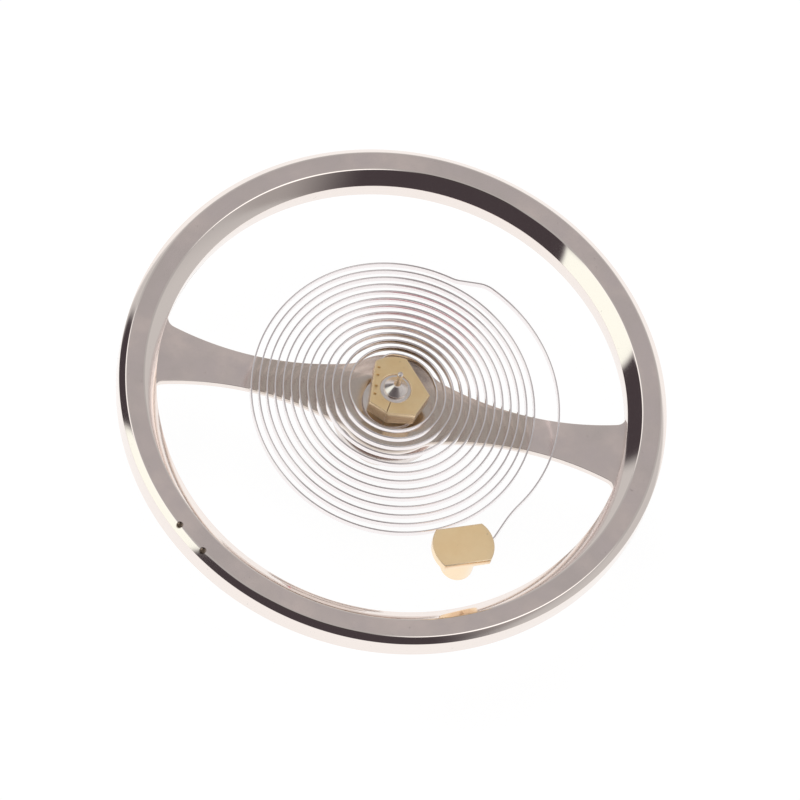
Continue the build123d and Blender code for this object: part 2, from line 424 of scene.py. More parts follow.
def edge_levels(low, high, edge):
    # How far in and how high each ring of a plate's rounded wall lies.
    turns = [radians(90 * step / edge_steps) for step in range(edge_steps + 1)]
    foot = [(edge * (1 - sin(turn)), low + edge * (1 - cos(turn))) for turn in turns]
    head = [(edge * (1 - cos(turn)), high - edge * (1 - sin(turn))) for turn in turns]
    return foot + head


def plate(name, loops, low, high, edge):
    # A flat plate with rounded edges. The outer loop runs anticlockwise and its holes clockwise.
    levels = edge_levels(low, high, edge)
    points, faces = [], []
    foot, head = [], []
    for loop in loops:
        rings = []
        for inset, height in levels:
            rings.append(list(range(len(points), len(points) + len(loop))))
            points += [(point.x, point.y, height) for point in shifted(loop, inset)]
        for first, second in zip(rings, rings[1:]):
            faces += bridge(first, second)
        foot.append(rings[0])
        head.append(rings[-1])
    for cap in (foot, head):
        order = [index for ring in cap for index in ring]
        outlines = [[Vector(points[index]) for index in ring] for ring in cap]
        for triangle in tessellate_polygon(outlines):
            faces.append(tuple(order[corner] for corner in triangle))
    return finished(name, points, faces)


def welded(mesh):
    # Corners that a boolean step leaves in one place become one corner.
    shell = bmesh.new()
    shell.from_mesh(mesh)
    bmesh.ops.remove_doubles(shell, verts=shell.verts, dist=weld_reach * MM)
    shell.to_mesh(mesh)
    shell.free()
    return mesh


def combined(piece, tool, operation):
    # The piece joined with the tool or cut by it. The tool is used up.
    step = piece.modifiers.new(operation, "BOOLEAN")
    step.operation = operation
    step.solver = "EXACT"
    step.object = tool
    bpy.context.view_layer.update()
    depsgraph = bpy.context.evaluated_depsgraph_get()
    mesh = bpy.data.meshes.new_from_object(piece.evaluated_get(depsgraph))
    piece.modifiers.clear()
    piece.data = welded(mesh)
    bpy.data.objects.remove(tool)
    return piece


def shaded(piece):
    # Sharp edges stay sharp, and broad faces keep their own normal.
    piece.data.shade_smooth()
    piece.data.set_sharp_from_angle(angle=radians(crease_angle))
    step = piece.modifiers.new("broad_faces_flat", "WEIGHTED_NORMAL")
    step.mode = "FACE_AREA"
    step.weight = broad_face_weight
    step.keep_sharp = True


def fitted(piece, node, body, finish):
    # The finished piece rides on its body and takes the place of its node.
    shaded(piece)
    piece.data.materials.clear()
    piece.data.materials.append(finish)
    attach(piece, body)
    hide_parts(node)


# ---- Shader groups

def feed(tree, node, sources):
    # Each source is a value or a socket of another node.
    for key, source in dict(sources).items():
        if isinstance(source, bpy.types.NodeSocket):
            tree.links.new(source, node.inputs[key])
        else:
            node.inputs[key].default_value = source


def add(tree, kind, sources=(), **settings):
    node = tree.nodes.new(kind)
    for key, value in settings.items():
        setattr(node, key, value)
    feed(tree, node, sources)
    return node


def new_group(name, inputs):
    # A shader group with named number inputs, each with its usual value.
    group = bpy.data.node_groups.new(name, "ShaderNodeTree")
    for label, value in inputs.items():
        socket = group.interface.new_socket(label, in_out="INPUT", socket_type="NodeSocketFloat")
        socket.default_value = value
    return group, group.nodes.new("NodeGroupInput").outputs


def with_outputs(group, sources):
    # The group gives out these numbers by name.
    for label in sources:
        group.interface.new_socket(label, in_out="OUTPUT", socket_type="NodeSocketFloat")
    add(group, "NodeGroupOutput", sources)
    return group


def maths(tree, operation, *sources, clamp=False):
    settings = {"operation": operation, "use_clamp": clamp}
    return add(tree, "ShaderNodeMath", enumerate(sources), **settings).outputs[0]


def millimetres(tree):
    # The place on the piece, in millimetres.
    sources = {0: add(tree, "ShaderNodeTexCoord").outputs["Object"], "Scale": 1 / MM}
    return add(tree, "ShaderNodeVectorMath", sources, operation="SCALE").outputs[0]


def parts_of(tree, vector):
    return add(tree, "ShaderNodeSeparateXYZ", {0: vector}).outputs


def distance_across(tree, first, second):
    # The length of the hypotenuse over two sides.
    squares = [maths(tree, "MULTIPLY", side, side) for side in (first, second)]
    return maths(tree, "SQRT", maths(tree, "ADD", *squares))


def spread(tree, value, low, high, start=0.3, end=0.7, **settings):
    # Runs from low to high while the value runs from start to end.
    sources = {"Value": value, "From Min": start, "From Max": end, "To Min": low, "To Max": high}
    return add(tree, "ShaderNodeMapRange", sources, **settings).outputs[0]


def noise(tree, vector, scale, detail, roughness=0.5):
    sources = {"Vector": vector, "Scale": scale, "Detail": detail, "Roughness": roughness}
    return add(tree, "ShaderNodeTexNoise", sources).outputs["Fac"]


def handling_group():
    # Broad soft blotches, as cleaning and handling leave them, and sparse fine specks.
    tree, source = new_group("handling_marks", {"Size": 1.0, "Speck size": 12.0})
    place = millimetres(tree)
    apart = add(tree, "ShaderNodeVectorMath", {0: place, 1: stain_offset}, operation="ADD")
    stain_size = maths(tree, "MULTIPLY", source["Size"], stain_size_share)
    fine = noise(tree, place, source["Speck size"], detail=2.0, roughness=0.6)
    peak = maths(tree, "SUBTRACT", fine, speck_threshold, clamp=True)
    return with_outputs(tree, {
        "Blotch": noise(tree, place, source["Size"], detail=3.0, roughness=0.55),
        "Stain": noise(tree, apart.outputs[0], stain_size, detail=4.0, roughness=0.6),
        "Speck": maths(tree, "MULTIPLY", peak, speck_contrast, clamp=True),
    })


def turned_group():
    # Circular tool marks about the staff: a noise that changes with radius and height alone.
    tree, source = new_group("turned_marks", {"Marks per mm": 30.0})
    parts = parts_of(tree, millimetres(tree))
    out = distance_across(tree, parts["X"], parts["Y"])
    place = add(tree, "ShaderNodeCombineXYZ", {"X": out, "Y": parts["Z"]}).outputs[0]
    return with_outputs(tree, {
        "Height": noise(tree, place, source["Marks per mm"], detail=3.0, roughness=0.65),
        "Tone": noise(tree, place, turned_band_size, detail=2.0),
    })


def ground_group():
    # Straight marks of a fine stone on flat faces.
    names = {"Marks per mm": 40.0, "Direction": 0.0, "Stretch": 0.06}
    tree, source = new_group("ground_marks", names)
    sources = {"Vector": millimetres(tree), "Angle": source["Direction"]}
    turn = add(tree, "ShaderNodeVectorRotate", sources, rotation_type="Z_AXIS")
    parts = parts_of(tree, turn.outputs[0])
    sides = {axis: maths(tree, "MULTIPLY", parts[axis], source["Stretch"]) for axis in "XZ"}
    place = add(tree, "ShaderNodeCombineXYZ", {**sides, "Y": parts["Y"]}).outputs[0]
    return with_outputs(tree, {
        "Height": noise(tree, place, source["Marks per mm"], detail=4.0, roughness=0.7),
        "Tone": noise(tree, place, ground_band_size, detail=2.0),
    })


def edge_group():
    # White along edges and corners, where a cloth or a tweezer polishes the metal.
    tree, source = new_group("rubbed_edges", {"Width": rubbed_edge_width * MM})
    bevel = add(tree, "ShaderNodeBevel", {"Radius": source["Width"]}, samples=4)
    plain = add(tree, "ShaderNodeNewGeometry")
    normals = {0: bevel.outputs[0], 1: plain.outputs["Normal"]}
    agree = add(tree, "ShaderNodeVectorMath", normals, operation="DOT_PRODUCT")
    away = maths(tree, "SUBTRACT", 1.0, agree.outputs["Value"], clamp=True)
    rubbed = maths(tree, "MULTIPLY", away, rubbed_contrast, clamp=True)
    return with_outputs(tree, {"Mask": rubbed})


def flat_face_group():
    # White on level faces and black on walls and bevels.
    tree, source = new_group("level_faces", {"Walls end": 0.985, "Level from": 0.997})
    normal = parts_of(tree, add(tree, "ShaderNodeNewGeometry").outputs["Normal"])
    upright = maths(tree, "ABSOLUTE", normal["Z"])
    level = spread(tree, upright, 0, 1, source["Walls end"], source["Level from"])
    return with_outputs(tree, {"Mask": level})


def spring_shade_group():
    # White on the arms' upper side round the staff and under the spring, where the spring's shade
    # and dark reflection are painted.
    tree, source = new_group("painted_shade_under_the_spring", {"Full to": 2.45, "None from": 2.70})
    parts = parts_of(tree, millimetres(tree))
    out = distance_across(tree, parts["X"], parts["Y"])
    ends = {"start": source["None from"], "end": source["Full to"]}
    fade = spread(tree, out, 0, 1, **ends, interpolation_type="SMOOTHSTEP")
    upper = maths(tree, "GREATER_THAN", parts["Z"], (wheel_base + arm_top) / 2)
    return with_outputs(tree, {"Mask": maths(tree, "MULTIPLY", fade, upper)})


def spots_group():
    # White inside round spots about the dimples, down to just below their floors.
    tree, source = new_group("dark_dimple_spots", {"Spot radius": 0.07, "Soft edge": 0.02})
    parts = parts_of(tree, millimetres(tree))
    mask = None
    for angle in dimple_angles:
        spot = dimple_place(angle)
        across = maths(tree, "SUBTRACT", parts["X"], spot.x)
        along = maths(tree, "SUBTRACT", parts["Y"], spot.y)
        away = distance_across(tree, across, along)
        inside = maths(tree, "SUBTRACT", source["Spot radius"], away)
        part = maths(tree, "DIVIDE", inside, source["Soft edge"], clamp=True)
        mask = part if mask is None else maths(tree, "MAXIMUM", mask, part)
    upper = maths(tree, "GREATER_THAN", parts["Z"], rim_top - 2 * dimple_depth)
    return with_outputs(tree, {"Mask": maths(tree, "MULTIPLY", mask, upper)})


# ---- Materials

def new_material(name):
    material = bpy.data.materials.new(name)
    material.use_nodes = True
    tree = material.node_tree
    return material, tree, tree.nodes["Principled BSDF"]


def effect(tree, group, **values):
    return add(tree, "ShaderNodeGroup", values, node_tree=group).outputs


def mixed_colour(tree, factor, *colours):
    # The first colour where the factor is 0 and the second where it is 1.
    first, second = ((*tone, 1) if isinstance(tone, tuple) else tone for tone in colours)
    sources = zip(mix_sources, (factor, first, second))
    return add(tree, "ShaderNodeMix", sources, data_type="RGBA").outputs[mix_result]


def bump(tree, height, depth, relief):
    sources = {"Height": height, "Distance": depth * MM, "Strength": relief}
    return add(tree, "ShaderNodeBump", sources).outputs[0]


def metal(name, groups, light, dark, smooth, rough, marks, depth, relief, blotch,
          stain=None, satin=None, matte=None, wall_light_tone=None, spring_shade=None, dimple_dark=None):
    # A metal whose tone runs between two colours and whose roughness runs between two values.
    # Its tool marks have a depth in millimetres and a relief from 0 to 1.
    # Level faces can be satin or matte, and walls and bevels can have a painted tone of their own
    # that stands in for the light they reflect.
    # A stain can tint the metal, painted shade can darken it under the spring, and round spots
    # about the dimples can turn it dark brown.
    material, tree, shader = new_material(name)
    shader.inputs["Metallic"].default_value = 1.0
    wear = effect(tree, groups["handling"], Size=blotch)
    edge = effect(tree, groups["edge"])
    cut = effect(tree, groups[marks])
    level = effect(tree, groups["level"])
    toned = mixed_colour(tree, spread(tree, wear["Blotch"], 0, 1, *blotch_band), light, dark)
    if stain:
        toned = mixed_colour(tree, spread(tree, wear["Stain"], 0, 1, *stain_band), toned, stain)
    # Painted light: walls and bevels take their own tone, lighter or whiter, for the light they
    # reflect.
    if wall_light_tone:
        toned = mixed_colour(tree, level["Mask"], wall_light_tone, toned)
    speck = maths(tree, "MULTIPLY", wear["Speck"], speck_strength)
    spotted = mixed_colour(tree, speck, toned, tuple(part * speck_tone for part in dark))
    rubbed = maths(tree, "MULTIPLY", edge["Mask"], rubbed_strength)
    colour = mixed_colour(tree, rubbed, spotted, light)
    # Painted shade: the arms are darkened under the spring, for its shadow and dark reflection.
    if spring_shade:
        colour = mixed_colour(tree, effect(tree, groups["spring_shade"])["Mask"], colour, spring_shade)
    # Round spots about the dimples are painted dark brown.
    if dimple_dark:
        colour = mixed_colour(tree, effect(tree, groups["spots"])["Mask"], colour, dimple_dark)
    base = spread(tree, wear["Blotch"], smooth, rough)
    grain_reach = grain_share * (rough - smooth)
    grain = spread(tree, cut["Tone"], -grain_reach, grain_reach)
    if satin:
        base = maths(tree, "ADD", base, maths(tree, "MULTIPLY", level["Mask"], satin))
    if matte:
        loss = maths(tree, "MULTIPLY", level["Mask"], matte)
        feed(tree, shader, {"Metallic": maths(tree, "SUBTRACT", 1.0, loss, clamp=True)})
    feed(tree, shader, {
        "Base Color": colour,
        "Roughness": maths(tree, "ADD", base, grain, clamp=True),
        "Normal": bump(tree, cut["Height"], depth, relief),
    })
    return material


def stone(name, groups, light, dark, smooth, rough, marks, depth, relief, blotch, refraction):
    # A clear stone whose tone and roughness change as a metal's do.
    material, tree, shader = new_material(name)
    wear = effect(tree, groups["handling"], Size=blotch)
    feed(tree, shader, {
        "Transmission Weight": 1.0,
        "IOR": refraction,
        "Base Color": mixed_colour(tree, spread(tree, wear["Blotch"], 0, 1), light, dark),
        "Roughness": spread(tree, wear["Blotch"], smooth, rough),
        "Normal": bump(tree, effect(tree, groups[marks])["Height"], depth, relief),
    })
    return material


def make_materials():
    groups = {
        "handling": handling_group(),
        "turned": turned_group(),
        "ground": ground_group(),
        "edge": edge_group(),
        "level": flat_face_group(),
        # painted shade of the spring on the arms
        "spring_shade": spring_shade_group(),
        "spots": spots_group(),
    }
    return {
        "nickel": metal(
            "polished_nickel", groups, light=(0.95, 0.82, 0.775), dark=(0.80, 0.71, 0.68),
            smooth=0.05, rough=0.09, marks="turned", depth=0.0004, relief=0.08, blotch=0.9,
            stain=(0.83, 0.73, 0.71), satin=0.14, wall_light_tone=(0.90, 0.82, 0.775),
            spring_shade=(0.67, 0.585, 0.52), dimple_dark=(0.16, 0.12, 0.09)),
        "steel": metal(
            "burnished_steel", groups, light=(0.88, 0.81, 0.775), dark=(0.77, 0.715, 0.685),
            smooth=0.20, rough=0.28, marks="turned", depth=0.001, relief=0.25, blotch=3.0),
        "brass": metal(
            "ground_brass", groups, light=(0.98, 0.75, 0.44), dark=(0.92, 0.68, 0.38),
            smooth=0.18, rough=0.28, marks="ground", depth=0.002, relief=0.35, blotch=2.5,
            satin=0.22, wall_light_tone=(0.98, 0.78, 0.52)),
        "stud brass": metal(
            "lapped_brass", groups, light=(1.0, 0.765, 0.46), dark=(0.96, 0.72, 0.42),
            smooth=0.14, rough=0.24, marks="ground", depth=0.002, relief=0.25, blotch=2.0,
            satin=0.30, matte=0.20, wall_light_tone=(1.0, 0.80, 0.56)),
        "spring": metal(
            "spring_alloy", groups, light=(0.74, 0.69, 0.70), dark=(0.66, 0.62, 0.63),
            smooth=0.08, rough=0.13, marks="ground", depth=0.001, relief=0.15, blotch=1.4,
            wall_light_tone=(0.93, 0.88, 0.88)),
        "ruby": stone(
            "synthetic_ruby", groups, light=(0.72, 0.02, 0.10), dark=(0.52, 0.01, 0.06),
            smooth=0.02, rough=0.06, marks="turned", depth=0.001, relief=0.1, blotch=3.0,
            refraction=1.76),
    }


# ---- Balance wheel

def rim_section():
    outline = [
        (rim_inner_radius, wheel_base),
        (rim_radius - foot_bevel, wheel_base),
        (rim_radius, wheel_base + foot_bevel),
        (rim_radius, rim_top - outer_bevel_height),
        (rim_radius - outer_bevel_width, rim_top, rim_top_round),
        (rim_inner_radius + inner_bevel_width, rim_top, rim_top_round),
        (rim_inner_radius, rim_top - inner_bevel_height),
    ]
    return rounded(outline, wheel_edge_round)


def flank(end):
    # Centre and radius of the arc that leaves the waist along the arm and passes through the end.
    run = end.x - arm_waist_radius
    rise = end.y - arm_waist_half_width
    radius = (run ** 2 + rise ** 2) / (2 * rise)
    return Vector((arm_waist_radius, arm_waist_half_width + radius)), radius


def arm_quarter():
    # From an arm's root in the rim, along its flank, to the top of the hub.
    axis = Vector((0, 0))
    wall = rim_inner_radius + arm_root_bite
    outer, outer_radius = flank(polar(rim_inner_radius, arm_rim_angle))
    inner, inner_radius = flank(polar(hub_radius, arm_hub_angle))
    reach = wall - rim_corner_radius
    corner = crossing(axis, reach, outer, outer_radius - rim_corner_radius, -1)
    reach = hub_radius + hub_corner_radius
    throat = crossing(axis, reach, inner, inner_radius - hub_corner_radius, -1)
    start = bearing(corner)
    bend = bearing(corner - outer)
    swing = bearing(throat - inner)
    return [
        polar(arm_root_radius, start),
        *arc_points(corner, rim_corner_radius, start, bend, corner_steps),
        *arc_points(outer, outer_radius, bend, -90, flank_steps),
        *arc_points(inner, inner_radius, -90, swing, flank_steps),
        *arc_points(throat, hub_corner_radius, swing, bearing(throat) - 180, corner_steps),
        *arc_points(axis, hub_radius, bearing(throat), 90, hub_steps),
    ]


def arms_outline():
    quarter = arm_quarter()
    left = [Vector((-point.x, point.y)) for point in reversed(quarter)]
    upper = quarter + left
    lower = [-point for point in upper]
    return without_repeats(upper + lower)


def dimple_place(angle):
    return polar(rim_radius - outer_bevel_width, angle)


def dimple_cutter(angle):
    top = rim_top + dimple_depth
    outline = [
        (0, rim_top - dimple_depth),
        (dimple_radius, rim_top - dimple_depth / 2),
        (dimple_radius, top),
        (0, top),
    ]
    return round_cutter("dimple_cutter", outline, dimple_segments, dimple_place(angle))


def make_wheel():
    wheel = turned("rim_and_arms", rim_section(), rim_segments)
    bore = circle(wheel_seat_radius, bore_segments, way=-1)
    arms = plate("arms", [arms_outline(), bore], wheel_base, arm_top, wheel_edge_round)
    wheel = combined(wheel, arms, "UNION")
    for angle in dimple_angles:
        wheel = combined(wheel, dimple_cutter(angle), "DIFFERENCE")
    return wheel


# ---- Staff

def cone_bend():
    # Radius of the small arc that joins a cone to its upright pivot.
    turn = atan2(neck_radius - pivot_radius, cone_height)
    return cone_bend_reach / tan(turn / 2)


def make_staff():
    neck_low = pivot_length + cone_height
    tip = pivot_radius - pivot_tip_radius
    outline = [
        (0, 0),
        (tip, 0),
        (pivot_radius, pivot_tip_radius),
        (pivot_radius, pivot_length, cone_bend()),
    ]
    foot = neck_low
    for radius, head in [
        (neck_radius, neck_low + neck_height),
        (safety_seat_radius, safety_pipe_top),
        (table_seat_radius, table_top),
        (flange_radius, wheel_base),
        (wheel_seat_radius, arm_top),
        (rivet_radius, rivet_top),
        (collet_shoulder_radius, collet_base),
        (collet_seat_radius, collet_seat_top),
        (neck_radius, collet_seat_top + neck_height),
    ]:
        outline += [(radius, foot), (radius, head)]
        foot = head
    outline += [
        (pivot_radius, staff_top - pivot_length, cone_bend()),
        (pivot_radius, staff_top - pivot_tip_radius),
        (tip, staff_top),
        (0, staff_top),
    ]
    return turned("pivoted_staff", rounded(outline, staff_edge_round), staff_segments)


# ---- Spring line: tangent pieces, each (start point, heading, length, turn)

def arc(radius, turn):
    return radius * radians(abs(turn)), turn


def end_of(point, heading, length, turn):
    if abs(turn) < straight_turn:
        return point + polar(length, heading)
    side = copysign(90, turn)
    radius = length / radians(abs(turn))
    centre = point + polar(radius, heading + side)
    return centre + polar(radius, heading + turn - side)


def walk(point, heading, moves):
    pieces = []
    for length, turn in moves:
        pieces.append((point, heading, length, turn))
        point = end_of(point, heading, length, turn)
        heading = heading + turn
    return pieces, point, heading


def coil_origin():
    return polar(collet_radius + front_coil_gap, coil_line_angle)


def inner_moves():
    flat, share = collet_flats[slot_flat]
    slot_distance = (collet_seat_radius + share * collet_radius) / 2
    slot_turn = flat - coil_line_angle
    start = coil_origin().length * cos(radians(slot_turn))
    bend = inner_elbow_radius * (1 - cos(radians(slot_turn)))
    lead = (slot_distance - start - bend) / sin(radians(slot_turn))
    return [(lead, 0), arc(inner_elbow_radius, slot_turn), (inner_tongue_length, 0)]


def inner_line():
    return walk(coil_origin(), coil_line_angle + 90, inner_moves())


def coil_radius(step):
    front = front_coil_gap + (step + 1) // 2 * front_pitch
    back = back_coil_gap + step // 2 * back_pitch
    return collet_radius + (front + back) / 2


def half_turn_radii(step):
    # The end arcs of a half turn are tighter and its middle arc is flatter than a round half turn.
    squeeze = coil_squeeze * step / coil_half_turns
    across = sin(radians(coil_end_angle))
    along = cos(radians(coil_end_angle))
    excess = across + along - 1
    end_radius = coil_radius(step) * (1 - squeeze * along / excess)
    middle_radius = coil_radius(step) * (1 + squeeze * (1 - along) / excess)
    return end_radius, middle_radius


def outer_line():
    moves = []
    for step in range(coil_half_turns):
        end_radius, middle_radius = half_turn_radii(step)
        end = arc(end_radius, -coil_end_angle)
        moves += [end, arc(middle_radius, 2 * coil_end_angle - 180), end]
    moves += [
        arc(half_turn_radii(coil_half_turns)[0], -coil_last_angle),
        arc(knee_radius, knee_out_angle),
        (knee_length, 0),
        arc(knee_radius, -knee_in_angle),
        arc(regulator_arc_radius, -regulator_arc_angle),
        arc(lead_out_radius, lead_out_angle),
        (lead_length, 0),
        arc(lead_in_radius, -lead_in_angle),
        (stud_reach, 0),
    ]
    return walk(coil_origin(), coil_line_angle - 90, moves)


def stations(pieces):
    # Points along the line and at its end with their headings, close together where it bends.
    places = []
    for point, heading, length, turn in pieces:
        count = max(ceil(length / station_length), ceil(abs(turn) / station_angle), 1)
        for index in range(count):
            part = index / count
            here = end_of(point, heading, length * part, turn * part)
            places.append((here, heading + turn * part))
    places.append((end_of(point, heading, length, turn), heading + turn))
    return places


def along_line(places, section):
    # The corners of a section, (sideways, height), at every place of a line.
    corners = []
    for point, heading in places:
        corners += [(*(point + polar(side, heading - 90)), height) for side, height in section]
    return corners


def spring_stations():
    inner = []
    for point, heading, length, turn in reversed(inner_line()[0]):
        inner.append((end_of(point, heading, length, turn), heading + turn + 180, length, -turn))
    outer, place, heading = outer_line()
    return stations(inner + outer + [(place, heading, stud_tail, 0)])


def strip_section():
    # Across the strip: (sideways from its middle, height). It is rounded a millimetre to the
    # side, because corners on the axis stay sharp.
    half = strip_thickness / 2
    outline = [(-half, spring_base), (half, spring_base), (half, spring_top), (-half, spring_top)]
    middle = [(x + 1, y) for x, y in outline]
    return [(point.x - 1, point.y) for point in rounded(middle, strip_edge_round, strip_edge_steps)]


def ring_faces(count, ring):
    # Walls between equal rings in a row, and a face at either end.
    rings = [tuple(range(step * ring, (step + 1) * ring)) for step in range(count)]
    faces = [face for pair in zip(rings, rings[1:]) for face in bridge(*pair)]
    return faces + [rings[0], rings[-1]]


def make_spring():
    # The strip is meshed straight, and only then coiled.
    places = spring_stations()
    section = strip_section()
    lengths = [0.0]
    for first, second in zip(places, places[1:]):
        lengths.append(lengths[-1] + (second[0] - first[0]).length)
    straight = [(length, -side, height) for length in lengths for side, height in section]
    spring = finished("flat_hairspring", straight, ring_faces(len(places), len(section)))
    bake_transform(spring)
    for vertex, point in zip(spring.data.vertices, along_line(places, section)):
        vertex.co = Vector(point) * MM
    spring.data.update()
    return spring


# ---- Collet

def collet_edge(angle):
    # Distance from the axis to the collet's outside in one direction: the circle or a flat.
    reach = collet_radius
    for flat, share in collet_flats:
        off = cos(radians(angle - flat))
        if off > 0:
            reach = min(reach, share * collet_radius / off)
    return reach


def collet_corners():
    # The directions in which the flats end, and those in which two of them cut each other off.
    corners = []
    for flat, share in collet_flats:
        half = degrees(acos(share))
        corners += [(flat - half) % 360, (flat + half) % 360]
    after = collet_flats[2:] + collet_flats[:1]
    for (first, first_share), (second, second_share) in zip(collet_flats[1:], after):
        meeting = second_share * polar(1, first) - first_share * polar(1, second)
        corners.append(degrees(atan2(meeting.x, -meeting.y)) % 360)
    return corners


def collet_loop():
    start = collet_slit_angle % 360
    outer_gap = degrees(collet_slit_width / 2 / collet_edge(start))
    inner_gap = degrees(collet_slit_width / 2 / collet_seat_radius)
    sweep = 360 - 2 * outer_gap
    angles = [start + outer_gap + sweep * step / collet_steps for step in range(collet_steps + 1)]
    angles += [corner if corner > start else corner + 360 for corner in collet_corners()]
    outside = [polar(collet_edge(angle), angle) for angle in sorted(angles)]
    first, last = start + 360 - inner_gap, start + inner_gap
    bore = arc_points(Vector((0, 0)), collet_seat_radius, first, last, bore_segments)
    return without_repeats(outside + bore)


def strip_cutter(name, pieces, width, low, high):
    # A rectangular bar that follows a line.
    places = stations(pieces)
    half = width / 2
    section = [(-half, low), (half, low), (half, high), (-half, high)]
    return finished(name, along_line(places, section), ring_faces(len(places), len(section)))


def make_collet():
    ring = plate("split_collet", [collet_loop()], collet_base, collet_top, collet_edge_round)
    line = inner_line()[0]
    clear = tunnel_clearance
    width = strip_thickness + 2 * clear
    tunnel = strip_cutter("spring_tunnel", line, width, spring_base - clear, spring_top + clear)
    ring = combined(ring, tunnel, "DIFFERENCE")
    point, heading = line[-1][:2]
    floor = collet_top - staking_mark_depth
    for place, reach in zip(staking_mark_places, staking_mark_lengths):
        mark = [(point + polar(place, heading), heading, reach, 0)]
        cutter = strip_cutter("staking_mark", mark, staking_mark_width, floor, collet_top + clear)
        ring = combined(ring, cutter, "DIFFERENCE")
    return ring


# ---- Rollers and impulse jewel

def jewel_loop(clear=0.0, way=1):
    # The jewel's round back faces the staff's axis and its flat faces outwards.
    radius = jewel_radius + clear
    flat = jewel_radius - jewel_flat_depth + clear
    half = degrees(acos(flat / radius))
    centre = Vector((jewel_place_radius, 0))
    loop = arc_points(centre, radius, half, 360 - half, jewel_steps)
    spin = Matrix.Rotation(radians(jewel_angle), 2)
    return [spin @ point for point in loop[::way]]


def make_table():
    bore = circle(table_seat_radius, bore_segments, way=-1)
    loops = [circle(table_radius, disc_segments), bore, jewel_loop(jewel_clearance, way=-1)]
    return plate("roller_disc", loops, table_low, table_top, table_edge_round)


def make_safety_roller():
    outline = [
        (safety_seat_radius, safety_low),
        (safety_radius, safety_low),
        (safety_radius, safety_pipe_low),
        (safety_pipe_radius, safety_pipe_low),
        (safety_pipe_radius, safety_pipe_top),
        (safety_seat_radius, safety_pipe_top),
    ]
    roller = turned("safety_roller_disc", rounded(outline, safety_edge_round), staff_segments)
    place = polar(safety_radius, jewel_angle)
    low, high = safety_low - cutter_overrun, safety_pipe_low + cutter_overrun
    crescent = [(0, low), (crescent_radius, low), (crescent_radius, high), (0, high)]
    cutter = round_cutter("crescent_cutter", crescent, crescent_segments, place)
    return combined(roller, cutter, "DIFFERENCE")


def make_jewel():
    loops = [jewel_loop()]
    return plate("impulse_jewel_stone", loops, jewel_bottom, table_top, jewel_edge_round)


# ---- Stud and its pin

def stud_place():
    place, heading = outer_line()[1:]
    return place + polar(strip_shift(), heading - 90), heading


def strip_shift():
    strip_half_height = (spring_top - spring_base) / 2
    reach = sqrt(stud_hole_radius ** 2 - strip_half_height ** 2)
    return reach - strip_thickness / 2 - tunnel_clearance


def head_loop():
    half = degrees(asin(stud_head_half_width / stud_head_radius))
    axis = Vector((0, 0))
    right = arc_points(axis, stud_head_radius, -half, half, head_steps)
    return right + arc_points(axis, stud_head_radius, 180 - half, 180 + half, head_steps)


def laid(piece, place, angle, height=0.0):
    # The piece's mesh is turned by an angle and moved to its place.
    turn = Matrix.Rotation(radians(angle), 4, "Z")
    piece.data.transform(Matrix.Translation((place.x * MM, place.y * MM, height * MM)) @ turn)
    return piece


def level_rod(name, outline, place, heading, height):
    # A turned rod that lies level along the heading.
    rod = turned(name, outline, rod_segments)
    rod.data.transform(Matrix.Rotation(radians(90), 4, "Y"))
    return laid(rod, place, heading, height)


def make_stud():
    place, heading = stud_place()
    head = plate("stud_block", [head_loop()], stud_head_base, stud_head_top, stud_edge_round)
    head = laid(head, place, stud_head_angle)
    into_head = (stud_head_base + stud_head_top) / 2
    outline = [
        (0, stud_foot_bottom),
        (stud_foot_radius - stud_foot_bevel, stud_foot_bottom),
        (stud_foot_radius, stud_foot_bottom + stud_foot_bevel),
        (stud_foot_radius, into_head),
        (0, into_head),
    ]
    foot = turned("stud_foot", rounded(outline, stud_foot_round), foot_segments)
    stud = combined(head, laid(foot, place, 0), "UNION")
    reach = 2 * stud_head_radius
    hole = [(0, -reach), (stud_hole_radius, -reach), (stud_hole_radius, reach), (0, reach)]
    drill = level_rod("stud_hole", hole, place, heading, stud_hole_level)
    return combined(stud, drill, "DIFFERENCE")


def make_stud_pin():
    place, heading = stud_place()
    side = stud_hole_radius - pin_large_radius - tunnel_clearance
    half = pin_length / 2
    outline = [(0, -half), (pin_large_radius, -half), (pin_small_radius, half), (0, half)]
    place = place + polar(side, heading - 90)
    outline = rounded(outline, pin_edge_round)
    return level_rod("stud_taper_pin", outline, place, heading, stud_hole_level)


# ---- Studio

def floor_material():
    # A white floor: mostly its own white, with a diffuse part that keeps the shadow.
    # From below it is clear.
    material, tree, shader = new_material("white_floor")
    tree.nodes.remove(shader)
    own_white = glow(tree, (1, 1, 1), floor_glow)
    shadow = grey_matte(tree, floor_shadow_tone)
    shown = add(tree, "ShaderNodeAddShader", {0: own_white, 1: shadow}).outputs[0]
    bounce = grey_matte(tree, floor_bounce_tone)
    choice = mixed_shader(tree, seen_rays(tree), bounce, shown)
    clear = add(tree, "ShaderNodeBsdfTransparent").outputs[0]
    side = add(tree, "ShaderNodeNewGeometry")
    from_below = mixed_shader(tree, side.outputs["Backfacing"], choice, clear)
    feed(tree, tree.nodes["Material Output"], {0: from_below})
    return material


def glow(tree, colour, strength):
    sources = {"Color": (*colour, 1), "Strength": strength}
    return add(tree, "ShaderNodeEmission", sources).outputs[0]


def grey_matte(tree, tone):
    return add(tree, "ShaderNodeBsdfDiffuse", {"Color": (tone, tone, tone, 1)}).outputs[0]


def mixed_shader(tree, factor, first, second):
    return add(tree, "ShaderNodeMixShader", enumerate((factor, first, second))).outputs[0]


def seen_rays(tree):
    # 1 for rays that show a thing to the camera, straight, mirrored or through glass.
    path = add(tree, "ShaderNodeLightPath").outputs
    seen = maths(tree, "ADD", path["Is Camera Ray"], path["Is Glossy Ray"], clamp=True)
    return maths(tree, "ADD", seen, path["Is Transmission Ray"], clamp=True)


